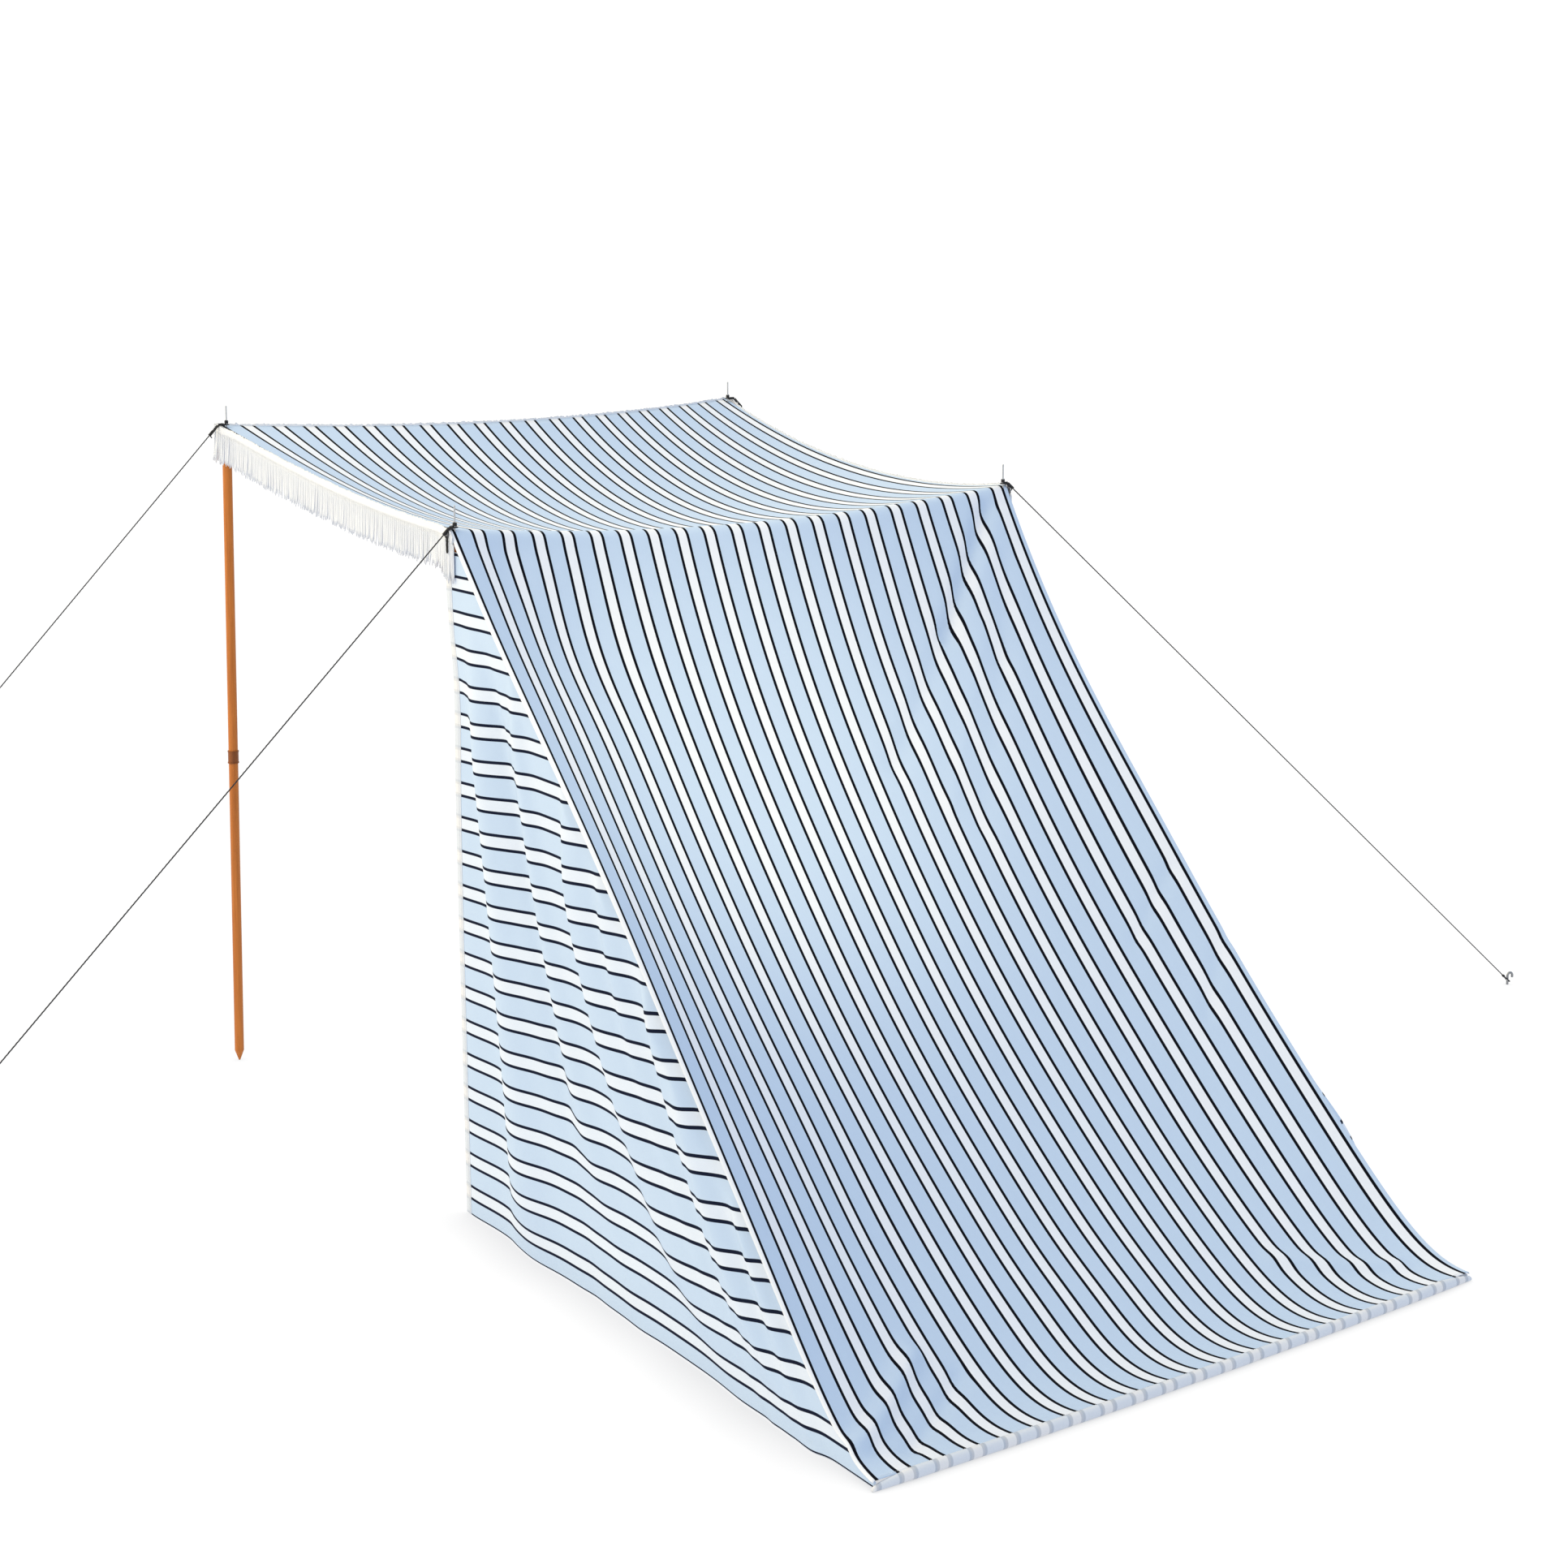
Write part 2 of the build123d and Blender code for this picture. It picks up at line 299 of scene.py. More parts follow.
# %% Striped cloth
BLUE = linear(187, 206, 231)
WHITE, WALL_WHITE = linear(228, 232, 241), linear(215, 224, 239)
NAVY, WALL_NAVY = linear(8, 10, 20), linear(20, 26, 46)
SHADE = linear(150, 165, 190)
LINE_HALF, WALL_LINE_HALF = 0.0038, 0.0033
LINE_SOFT = 0.0008
THREAD = 0.0011
CLOTH_GLOSS = 0.06
# The bands of a cloth: where a repeat starts, how long it is and how much of it is blue.
CANOPY_BANDS = (-0.800, 0.0796, 0.0487)
WALL_BANDS = (0.0718, 0.0790, 0.0492)


def stripes(side, bands, half, soft):
    """Masks of the blue bands and of the lines, from the remainder of a cloth coordinate. Each
    repeat holds a line, a blue band, a second line and a white band."""
    start, repeat, blue_band = bands
    place = ((side - start) / repeat).maths("FRACT") * repeat
    blue_mask = (blue_band - place).maths("GREATER_THAN", 0.0)
    first = place.maths("PINGPONG", repeat / 2).within(half, soft)
    second = (place - blue_band).within(half, soft)
    return blue_mask, first.maths("MAXIMUM", second)


def striped_cloth(name, axis, bands, line_half, navy, white):
    """Woven bands across one cloth axis, with slow changes in the dye and fine ones in the yarn."""
    material, wire, shader = new_finish(name)
    axes, place = cloth_axes(wire), object_place(wire)
    blue_mask, lines = stripes(axes[axis], bands, line_half, LINE_SOFT)
    dye, slub, crumple = place.noise(7.0, 4.0), place.noise(260.0, 2.0), place.noise(16.0, 3.0)
    shade = dye * 0.06 + slub * 0.08
    colour = lines.mix(shade.mix(blue_mask.mix(white, BLUE), SHADE), navy)
    warp, weft = ((side * (FULL_TURN / THREAD)).maths("SINE") for side in axes)
    creased = crumple.bump(0.30, 0.004)
    weave = (warp * weft + slub).bump(0.12, 0.0006, Normal=creased)
    plug(shader, Base_Color=colour, Roughness=0.78 + 0.16 * slub, Normal=weave,
         Specular_IOR_Level=CLOTH_GLOSS)
    return material


canopy_finish = striped_cloth("canopy_stripes", 0, CANOPY_BANDS, LINE_HALF, NAVY, WHITE)
wall_finish = striped_cloth(
    "wall_stripes", 1, WALL_BANDS, WALL_LINE_HALF, WALL_NAVY, WALL_WHITE)
print("striped finishes", canopy_finish.name, wall_finish.name)

# %% [markdown]
# ## The reverse of the cloth
# On the back of the sheet the dye only shows through: the bands are nearly white and the navy
# lines are a soft grey. The reverse is also the face of the rolled hem and of the turned hems, so
# it has its own paler mix.


# %% Reverse of the cloth
GHOST, HEM_GHOST = 0.45, 0.20


def cloth_reverse(name, axis, bands, ghost):
    """The stripes seen from behind: pale bands and wider grey lines, as strong as ghost."""
    material, wire, shader = new_finish(name)
    side, place = cloth_axes(wire)[axis], object_place(wire)
    blue_mask, lines = stripes(side, bands, LINE_HALF * 1.4, LINE_SOFT * 2.5)
    slub = place.noise(240.0, 2.0)
    band = blue_mask.mix(linear(219, 221, 227), linear(206, 213, 225))
    colour = (lines * ghost).mix(band, linear(128, 140, 160))
    worn = (slub * 0.12).mix(colour, linear(170, 178, 192))
    plug(shader, Base_Color=worn, Roughness=0.75 + 0.15 * slub, Normal=slub.bump(0.15, 0.0006),
         Specular_IOR_Level=CLOTH_GLOSS)
    return material


canopy_reverse = cloth_reverse("canopy_reverse", 0, CANOPY_BANDS, GHOST)
wall_reverse = cloth_reverse("wall_reverse", 1, WALL_BANDS, GHOST)
hem_finish = cloth_reverse("hem_reverse", 1, WALL_BANDS, HEM_GHOST)
print("reverse finishes", canopy_reverse.name, wall_reverse.name, hem_finish.name)

# %% [markdown]
# ## The drape of the sheet
# Roof and back wall are one cloth bent over the line between two poles. A cloth simulation would
# find a drape of its own, but this one is known: the sides are held up by ropes and the middle
# hangs. Four rows of control points across the width, each with four points from the ridge, give
# a smooth sag, close to the one of the CAD sheet.

# %% Control points of the sheet
HALF_CLOTH = 0.818
RIDGE_Y = 0.1435
RIDGE_HEIGHT = 1.600
FRONT_REACH = 1.325
FRONT_HEIGHT = 1.740
BACK_RUN = 1.600
FOOT_HEIGHT, FOOT_BOW = 0.020, 0.020
RIDGE_INSET, RIDGE_SAG = 0.040, 0.060
FRONT_INSET, FRONT_SAG = 0.180, 0.027
ROOF_RISES = ((0.015, 0.073), (-0.230, -0.115), (-0.180, -0.130), (-0.060, 0.003))
BACK_RUNS = ((0.450, 1.135), (0.100, 0.725), (0.330, 0.750), (0.350, 1.040))
BACK_HEIGHTS = ((1.155, 0.440), (0.735, 0.285), (0.830, 0.230), (0.985, 0.345))
ROOF_LENGTH, BACK_LENGTH = 1.34, 2.28


def sheet_nets():
    """Control points (across, along, run and height) of the roof and of the back wall."""
    roof, back = [], []
    for row, (rises, runs, heights) in enumerate(zip(ROOF_RISES, BACK_RUNS, BACK_HEIGHTS)):
        free = row in (1, 2)
        ridge = (RIDGE_INSET * free, RIDGE_HEIGHT - RIDGE_SAG * free)
        front = (FRONT_REACH - FRONT_INSET * free, FRONT_HEIGHT - FRONT_SAG * free)
        third = (front[0] - ridge[0]) / 3
        roof.append([
            ridge,
            (ridge[0] + third, RIDGE_HEIGHT + rises[0]),
            (ridge[0] + third * 2, RIDGE_HEIGHT + rises[1]),
            front,
        ])
        foot = (-BACK_RUN - FOOT_BOW * free, FOOT_HEIGHT)
        back.append([ridge, (-runs[0], heights[0]), (-runs[1], heights[1]), foot])
    return np.array(roof), np.array(back)


ROOF_NET, BACK_NET = sheet_nets()
print("control nets", ROOF_NET.shape, BACK_NET.shape)


# %% Hang of the sheet
def weights(share):
    """The four cubic Bezier weights of a share from 0 to 1."""
    rest = 1 - share
    return np.stack([rest**3, 3 * share * rest**2, 3 * share**2 * rest, share**3], axis=-1)


def hang(across, along):
    """Run and height of the sheet: the Bezier sum of the roof net before the ridge (along below
    zero) and of the back net after it, where along is metres from the ridge."""
    width = weights(across)
    roof_share = weights(np.clip(-along / ROOF_LENGTH, 0, 1))
    back_share = weights(np.clip(along / BACK_LENGTH, 0, 1))
    roof = np.einsum("...i,...j,ijk->...k", width, roof_share, ROOF_NET)
    back = np.einsum("...i,...j,ijk->...k", width, back_share, BACK_NET)
    return np.where((along < 0)[..., None], roof, back)


RIDGE_ROUND = 0.030
ROUND_TAPS = 9
SETTLE_DEPTH, SETTLE_START, SETTLE_POWER = 0.070, 0.60, 4.7


def fall(x, along):
    """Run and height of the sheet, rounded and settled. Near the ridge the hang is averaged over a
    short stretch of cloth, so the fold is round and tightest at the poles. Near the foot it drops
    by a skewed sine, because the last hand's width of cloth lies almost on the ground."""
    across = x / (2 * HALF_CLOTH) + 0.5
    slack = 0.25 + 0.75 * np.sin(np.pi * np.clip(across, 0, 1)) ** 0.7
    reach = RIDGE_ROUND * slack * np.exp(-((along / (3 * RIDGE_ROUND)) ** 2))
    taps = np.linspace(-1, 1, ROUND_TAPS)
    spread = sum(hang(across, along + reach * tap) for tap in taps) / ROUND_TAPS
    share = np.clip((along - SETTLE_START) / (BACK_LENGTH - SETTLE_START), 0, 1)
    settle = SETTLE_DEPTH * np.sin(np.pi * share**SETTLE_POWER)
    spread[..., 1] -= settle * (1 - 0.35 * np.abs(2 * across - 1) ** 12)
    return spread


# %% [markdown]
# ## Swells and creases
# A sheet on four poles is never quite even. Broad swells are bells in two directions, and creases
# are bells across a short line. Both push the cloth at right angles to its fall, each where the
# photograph shows it: two creases run down from the right pole and others rise from the hem.

# %% Swells and creases
RIDGE_FADE = 0.06
# A swell: its place across and along, its half width in both directions and its push.
SWELLS = (
    (-0.55, 0.32, 0.17, 0.20, -0.032),
    (-0.68, 0.08, 0.06, 0.12, -0.012),
    (-0.80, 0.95, 0.12, 0.40, 0.015),
    (0.80, 0.95, 0.12, 0.40, 0.018),
    (0.45, 0.40, 0.17, 0.20, -0.011),
    (-0.10, 0.90, 0.35, 0.45, 0.024),
    (-0.48, 1.75, 0.13, 0.20, -0.012),
    (-0.03, 1.99, 0.25, 0.11, 0.008),
    (0.45, 1.72, 0.16, 0.22, -0.006),
)
# A crease: its first and last place across and along, its half width and its push.
CREASES = (
    (0.73, 0.05, 0.50, 0.36, 0.024, -0.015),
    (0.50, 0.36, 0.22, 0.67, 0.035, -0.007),
    (0.73, 0.20, 0.62, 0.46, 0.026, -0.004),
    (0.62, 0.46, 0.38, 0.86, 0.032, -0.004),
    (0.60, 0.36, 0.32, 0.79, 0.022, 0.003),
    (-0.78, 2.15, -0.54, 1.99, 0.026, 0.014),
    (-0.68, 2.20, -0.46, 2.06, 0.022, -0.008),
    (0.45, 2.02, 0.70, 2.14, 0.024, 0.008),
    (0.76, 1.10, 0.60, 1.24, 0.018, -0.004),
    (0.79, 1.30, 0.66, 1.46, 0.018, -0.004),
)


def pulls(x, along):
    """Push of the sheet in metres: bells round points, and bells across lines."""
    push = 0 * x
    for middle, down, wide, tall, depth in SWELLS:
        push = push + depth * hump(x, middle, wide) * hump(along, down, tall)
    for x_from, down_from, x_to, down_to, width, depth in CREASES:
        step_x, step_down = x_to - x_from, down_to - down_from
        share = ((x - x_from) * step_x + (along - down_from) * step_down) / (step_x**2 + step_down**2)
        share = np.clip(share, 0, 1)
        away = np.hypot(x - x_from - step_x * share, along - down_from - step_down * share)
        push = push + depth * hump(away, 0, width)
    return push * step(0.0, RIDGE_FADE, along)


SLOPE_STEP = 0.004


def drape(x, along):
    """Points of the sheet: the fall, pushed at right angles to its own direction."""
    run = unit(fall(x, along + SLOPE_STEP) - fall(x, along - SLOPE_STEP))
    outward = np.stack([run[..., 1], -run[..., 0]], axis=-1)
    spread = fall(x, along) + outward * pulls(x, along)[..., None]
    return np.stack([x, RIDGE_Y + spread[..., 0], spread[..., 1]], axis=-1)


print("swells", len(SWELLS), "creases", len(CREASES))

# %% [markdown]
# ## The canopy sheet
# The sheet is made once from the front edge over the ridge to the foot. Below the ridge its side
# edges are sewn over the walls: a quarter turn, then a pale strip that lies flat on the wall.

# %% Canopy sheet
ROLL_START = 0.8035
ROLL_RADIUS = 0.0055
EDGE_WIDTH_TOP, EDGE_WIDTH_FOOT = 0.0092, 0.0082
EDGE_CHANGE = (0.3, 1.5)
ROOF_EDGE_SHARE, SHEET_DEPTH = 0.52, 0.0012
INSIDE_EDGE = 0.79


def normals(points):
    """Unit normals of a grid: the cross product of its two directions of change."""
    return unit(np.cross(np.gradient(points, axis=0), np.gradient(points, axis=1)))


def canopy_points(x, along):
    """The draped sheet with its side edges turned down behind the ridge: a quarter circle, then
    straight. On the roof they stay level and are narrower."""
    past = np.maximum(np.abs(x) - ROLL_START, 0)
    kept = step(0.0, RIDGE_FADE, along)
    turn = np.minimum(past / ROLL_RADIUS, np.pi / 2)
    points = drape(np.clip(x, -ROLL_START, ROLL_START), along)
    level = past * ROOF_EDGE_SHARE
    reach = level + (ROLL_RADIUS * np.sin(turn) - level) * kept
    down = ROLL_RADIUS * (1 - np.cos(turn)) + np.maximum(past - ROLL_RADIUS * np.pi / 2, 0)
    outward = normals(drape(np.clip(x, -INSIDE_EDGE, INSIDE_EDGE) + 1e-4 * x, along))
    points[..., 0] += np.sign(x) * reach
    return points - outward * (down * kept)[..., None]


def rows_along(*stops):
    """Distances from the ridge, in runs of (from, to, count)."""
    runs = [np.linspace(low, high, count, endpoint=False) for low, high, count in stops]
    return np.concatenate([*runs, [stops[-1][1]]])


along_rows = rows_along(
    (-ROOF_LENGTH, -0.12, 50), (-0.12, 0.12, 24), (0.12, 1.7, 128), (1.7, BACK_LENGTH, 56))
edge_shares = rows_along((-2, -1, 8), (-1, 1, 150), (1, 2, 8))
edge_shares, sheet_along = np.meshgrid(edge_shares, along_rows)
edge_width = EDGE_WIDTH_TOP + (EDGE_WIDTH_FOOT - EDGE_WIDTH_TOP) * step(*EDGE_CHANGE, sheet_along)
beyond = np.maximum(np.abs(edge_shares) - 1, 0)
sheet_x = np.minimum(np.abs(edge_shares), 1) * ROLL_START + beyond * edge_width
sheet_x = np.sign(edge_shares) * sheet_x
sheet_points = canopy_points(sheet_x, sheet_along)
canopy = grid_piece(
    "canopy_cloth", sheet_points, pair(sheet_x, sheet_along), [canopy_finish, canopy_reverse])
thicken(canopy, SHEET_DEPTH, 1)
print("canopy", sheet_points.min((0, 1)).round(3), sheet_points.max((0, 1)).round(3))

# %% [markdown]
# ## The side walls
# Each wall is a triangle of the same cloth, sewn under the edge of the back wall and hanging free
# at its front. Rows of one height run from the front edge to the seam. Long folds fan down from
# the top corner, each a bell curve across its own bent line. At the foot the cloth is tucked, so a
# navy line shows along the ground.

# %% Side walls
WALL_TOP = 1.548
WALL_X_LOW, WALL_X_TOP = 0.800, 0.811
SEAM_X, SEAM_DROP, SEAM_FADE = 0.803, 0.004, (0.008, 0.045)
TOP_FLARE = (1.15, 1.52)
FRONT_LEAN_TOP, FRONT_LEAN_FOOT = -0.020, 0.016
# A fold is a ridge whose line curves down the wall. Every row holds the line (start, lean and bend
# over the drop from the top), its width and widening, how much longer its far side is, its depth
# in metres (outward is positive) and the heights where it starts, is full and fades.
WALL_FOLDS = (
    (-0.010, 0.040, 0.000, 0.030, 0.020, 1.0, 0.004, 1.45, 1.10, -0.20),
    (-0.090, 0.336, -0.091, 0.050, 0.020, 0.4, -0.010, 1.48, 1.10, 0.00),
    (0.030, 0.245, -0.030, 0.026, 0.044, 1.0, 0.034, 1.48, 1.05, 0.00),
    (0.060, 0.335, 0.000, 0.018, 0.016, 1.0, -0.014, 1.40, 1.15, 0.25),
    (0.240, 0.045, 0.188, 0.016, 0.026, 1.0, 0.016, 1.36, 1.15, 0.20),
    (0.540, -0.309, 0.448, -0.012, 0.066, 1.7, 0.036, 1.18, 0.85, 0.05),
    (0.630, -0.269, 0.427, 0.022, 0.000, 1.8, 0.018, 1.00, 0.85, 0.55),
    (0.743, -0.204, 0.367, 0.025, 0.010, 1.5, 0.030, 0.84, 0.66, 0.05),
    (0.824, -0.252, 0.383, 0.028, 0.000, 1.4, 0.024, 0.66, 0.50, 0.05),
    (0.317, 0.693, 0.000, 0.022, 0.000, 1.2, 0.022, 0.46, 0.34, 0.05),
)


def seam_line(height, sign):
    """Where the edge of the back wall is at a height, on one side."""
    along = np.linspace(0.0, BACK_LENGTH, 400)
    edge = drape(np.full_like(along, sign * SEAM_X), along)
    return np.interp(height, edge[::-1, 2] - SEAM_DROP, edge[::-1, 1])


def wall_folds(behind, height):
    """Outward push of the wall: bells across curved lines, steep in front and longer behind."""
    drop = RIDGE_HEIGHT - height
    push = 0 * behind
    for start, lean, bend, width, widening, tail, depth, top, full, fade in WALL_FOLDS:
        strength = step(top, full, height) * (0.25 + 0.75 * step(fade - 0.05, fade + 0.20, height))
        away = behind - start - lean * drop - bend * drop**2
        wide = np.maximum(width + widening * drop, 0.012) * np.where(away < 0, 1, tail)
        push = push + depth * strength * hump(away, 0, wide)
    return push


def wall_front(height):
    """Where the leaning front edge of a wall is at a height."""
    drop = (RIDGE_HEIGHT - height) / RIDGE_HEIGHT
    return RIDGE_Y - FRONT_LEAN_TOP - (FRONT_LEAN_FOOT - FRONT_LEAN_TOP) * drop


def wall_points(share, height, sign):
    """A wall: rows of one height from its leaning front edge to the seam, pushed out by folds. Near
    the top it goes round the pole, and near the seam the folds die away."""
    front = wall_front(height)
    length = np.maximum(front - seam_line(height, sign), 0)
    y = front - length * share
    free = step(*SEAM_FADE, length * (1 - share))
    base = WALL_X_LOW + (WALL_X_TOP - WALL_X_LOW) * step(*TOP_FLARE, height)
    x = base + (SEAM_X - base) * share + wall_folds(RIDGE_Y - y, height) * free
    return np.stack([sign * x, y, height], axis=-1)


FOOT_TUCK, TUCK_HEIGHT = 0.015, 0.009
walls = {}
wall_rows = rows_along((0.002, 0.022, 6), (0.022, WALL_TOP, 200))
wall_share, wall_height = np.meshgrid(np.linspace(0, 1, 180), wall_rows)
for side, sign in SIDES.items():
    points = wall_points(wall_share, wall_height, sign)
    tucked = wall_height - FOOT_TUCK * hump(wall_height, 0, TUCK_HEIGHT)
    flat = pair(RIDGE_Y - points[..., 1], tucked)
    walls[side] = grid_piece(
        f"{side}_wall_cloth", points[:, ::sign], flat[:, ::sign], [wall_finish, wall_reverse])
    thicken(walls[side], SHEET_DEPTH, 1)
    print(walls[side].name, points.min((0, 1)).round(3), points.max((0, 1)).round(3))

# %% [markdown]
# ## Rolled hem
# The foot of the back wall is rolled round a cord and lies on the ground. A stretched cylinder
# would look like a pipe, so the section is an oval whose size wanders a little along the hem.

# %% Rolled hem
HEM_HALF_HEIGHT, HEM_HALF_DEPTH = 0.0120, 0.0100
HEM_HALF_LENGTH = 0.812
HEM_TAPER, HEM_BACK = 0.10, 0.002


def hem_points(x, turn):
    """An oval section carried along the foot, a little uneven and thin at both ends."""
    wander = 1 + 0.05 * np.sin(x * 23) + 0.03 * np.sin(x * 61 + 1)
    thin = 0.30 + 0.70 * np.sqrt(np.clip((HEM_HALF_LENGTH - np.abs(x)) / HEM_TAPER, 0, 1))
    foot = fall(x, np.full_like(x, BACK_LENGTH))[..., 0]
    y = RIDGE_Y + foot - HEM_BACK + HEM_HALF_DEPTH * wander * thin * np.cos(turn)
    z = HEM_HALF_HEIGHT * thin * (1 + np.sin(turn))
    return np.stack([x, y, z], axis=-1)


HEM_AROUND = 0.09
hem_turn, hem_x = np.meshgrid(
    circle(24), np.linspace(-HEM_HALF_LENGTH, HEM_HALF_LENGTH, 320))
hem_flat = pair(hem_x[:, :1], np.linspace(0, HEM_AROUND, 25))
hem = grid_piece(
    "rolled_hem", hem_points(hem_x, -hem_turn), hem_flat, [canopy_reverse], around=True)
print("hem", len(hem.data.polygons), "faces")

# %% [markdown]
# ## Turned hems on the walls
# The front edge of each wall is folded back on itself, so a strip of the reverse shows outside.
# The strip is the wall's own surface again, lifted by little more than the depth of the cloth.

# %% Turned hems
HEM_WIDTH = 0.024
HEM_LIFT = 0.0012
hem_share, hem_height = np.meshgrid(np.linspace(0, 1, 9), np.linspace(0.003, WALL_TOP, 190))
wall_hems, wall_hem_lines = {}, {}
STITCH_COLUMN = 6
for side, sign in SIDES.items():
    length = np.maximum(wall_front(hem_height) - seam_line(hem_height, sign), 0.02)
    points = wall_points(hem_share * np.minimum(HEM_WIDTH / length, 1), hem_height, sign)
    points[..., 0] += sign * HEM_LIFT * (0.4 + 0.6 * np.sin(np.pi * hem_share) ** 0.3)
    wall_hem_lines[side] = points[:, STITCH_COLUMN]
    flat = pair(hem_share * HEM_WIDTH, hem_height)
    wall_hems[side] = grid_piece(
        f"{side}_wall_turned_hem", points[:, ::sign], flat[:, ::sign], [hem_finish])
    thicken(wall_hems[side], SHEET_DEPTH / 2, 0)
print("turned hems", [piece.name for piece in wall_hems.values()])

# %% [markdown]
# ## Cotton fringe
# A cream fringe hangs from three edges of the roof: a knitted band, then twisted strands. Hair
# particles would be quick, but they leave no mesh behind. Each strand is a thin tube of a few
# dozen faces, and all of them are worked out together as one array.

# %% Cotton finish
def cotton(name, turns):
    """Cream cotton with a diagonal twist that follows the strand's own coordinates. Painted shade
    makes the grooves of the twist darker, and the fluff is random tone.
    """
    material, wire, shader = new_finish(name)
    around, down = cloth_axes(wire)
    twist = ((around + down * turns) * (2 * FULL_TURN)).maths("SINE") * 0.5 + 0.5
    fluff = object_place(wire).noise(420.0, 3.0)
    # Painted shade: the twist darkens the grooves between the plies; the fluff is random tone.
    tone = twist * 0.35 + fluff * 0.3
    colour = tone.mix(linear(220, 224, 232), linear(239, 242, 250))
    plug(shader, Base_Color=colour, Roughness=0.8 + 0.15 * fluff,
         Normal=(twist + fluff).bump(0.5, 0.001), Sheen_Weight=0.3, Specular_IOR_Level=0.1)
    return material


strand_finish = cotton("cotton_strand", 110.0)
band_finish = cotton("cotton_band", 160.0)
print("cotton finishes", strand_finish.name, band_finish.name)


# %% Many thin tubes in one mesh
def tubes_piece(name, points, long, material):
    """One mesh of many tubes, from points (tube, ring, side, 3): the faces of one tube with a closed
    end on both sides, shifted for every other. Cloth coordinates run once round and along it."""
    count, rings, sides = points.shape[:3]
    index = np.arange(rings * sides).reshape(rings, sides)
    index = np.hstack([index, index[:, :1]])
    label = np.arange(rings * (sides + 1)).reshape(rings, sides + 1)
    shift = (np.arange(count) * rings * sides)[:, None, None]
    faces = [*(four(index) + shift).reshape(-1, 4), *(ends(index) + shift).reshape(-1, sides)]
    corner = pair(np.linspace(0, 1, sides + 1), np.linspace(0, 1, rings)[:, None]).reshape(-1, 2)
    stretch = pair(1.0, long)[:, None, None]
    flat = [(corner[table] * stretch).ravel() for table in (four(label), ends(label))]
    return mesh_piece(name, points, faces, np.concatenate(flat), [material])


def rings_of(centre, first, second, turn, radius):
    """Tube points (tube, ring, side, 3): circles round every centre, between two directions."""
    return centre[:, :, None] + spokes(first, second, turn)[:, None] * radius[:, None, None]


# %% Fringe path
FRINGE_LENGTH = 0.100
FRINGE_X = 0.806
FRINGE_PAST, CORNER_PAST = 0.034, 0.012
POLE_BULGE, POLE_ALONG, BULGE_WIDTH = 0.010, 1.310, 0.045
BAND_HEIGHT, BAND_RISE, BAND_DEPTH = 0.022, 0.0045, 0.0028
STRAND_GAP, STRAND_RADIUS = 0.0036, 0.0020
STRAND_SHAPE = np.array([1, 1.05, 1, 1.04, 0.98, 1.0, 0.40])
LOOSE_END, LOOSE_WIDTH, LAYER_BACK = 0.026, 0.032, 0.001
CORNER_WIDTH, CORNER_SWAY, SWAY = 0.030, 0.006, 0.0020
SHORTEST, LAYER_GAP, BAND_FUZZ, BAND_COVER = 0.88, 0.0018, 0.0012, 0.6
random = np.random.default_rng(7)


def edge_path(side, count):
    """Points and outward directions along one edge of the roof. A side starts a little behind the
    ridge, bulges round both poles, and all edges go on a little past the front corners."""
    share = np.linspace(0, 1, count)
    if side == "front":
        points = drape((2 * share - 1) * (FRINGE_X + CORNER_PAST), np.full(count, -ROOF_LENGTH))
        return points, np.tile([0.0, 1.0, 0.0], (count, 1))
    sign = SIDES[side]
    along = FRINGE_PAST - (ROOF_LENGTH + FRINGE_PAST + CORNER_PAST) * share
    points = drape(np.full(count, sign * FRINGE_X), np.maximum(along, -ROOF_LENGTH))
    points[:, 1] += np.maximum(-ROOF_LENGTH - along, 0)
    bulge = hump(along, 0, BULGE_WIDTH) + hump(along, -POLE_ALONG, BULGE_WIDTH)
    points[:, 0] += sign * POLE_BULGE * bulge
    return points, np.tile([float(sign), 0.0, 0.0], (count, 1))


# %% Fringe
def strands(side):
    """Twisted strands below an edge: tubes that taper at the tip. Neighbours lean together, by a sum
    of two slow waves, and every strand sways a little by itself. Beside the ridge they are longer."""
    length = distances(edge_path(side, 400)[0])[-1]
    count = int(length / STRAND_GAP)
    roots, out = edge_path(side, count)
    place = np.linspace(0, length, count)
    rings = np.linspace(0, 1, len(STRAND_SHAPE))
    hidden = BAND_HEIGHT * BAND_COVER
    long = FRINGE_LENGTH * (SHORTEST + (1 - SHORTEST) * random.random(count)) - hidden
    corner = hump(place, length, CORNER_WIDTH)
    if side == "front":
        corner = corner + hump(place, 0, CORNER_WIDTH)
    else:
        long = long + LOOSE_END * hump(place, FRINGE_PAST, LOOSE_WIDTH) * random.random(count)
    sway = (SWAY + CORNER_SWAY * corner[:, None]) * random.standard_normal((count, 2))
    sway[:, 0] += 0.003 * np.sin(place * 41) + 0.002 * np.sin(place * 113 + 1)
    along = np.cross([0, 0, 1], out)
    drop = hidden + long[:, None] * rings
    bend = rings**1.5
    layer = LAYER_GAP * (np.arange(count) % 2) - LAYER_BACK
    centre = roots[:, None] - UP * drop[..., None]
    centre = centre + along[:, None] * (sway[:, :1] * bend)[..., None]
    centre = centre + out[:, None] * (layer[:, None] + np.abs(sway[:, 1:]) * bend)[..., None]
    return rings_of(centre, out, along, circle(5), STRAND_RADIUS * STRAND_SHAPE), long


def band_points(side, count):
    """A flat loop carried along the edge: the knitted band from which the strands hang. Its upper
    half is ragged by a random height."""
    roots, out = edge_path(side, count)
    turn = circle(12)
    fuzz = BAND_FUZZ * random.standard_normal(count)
    deep = BAND_DEPTH * np.cos(turn) ** 3
    down = BAND_RISE - BAND_HEIGHT / 2 + BAND_HEIGHT / 2 * np.sin(turn)
    rise = down + fuzz[:, None] * (turn < np.pi)
    return roots[:, None] + out[:, None] * deep[:, None] + UP * rise[..., None]


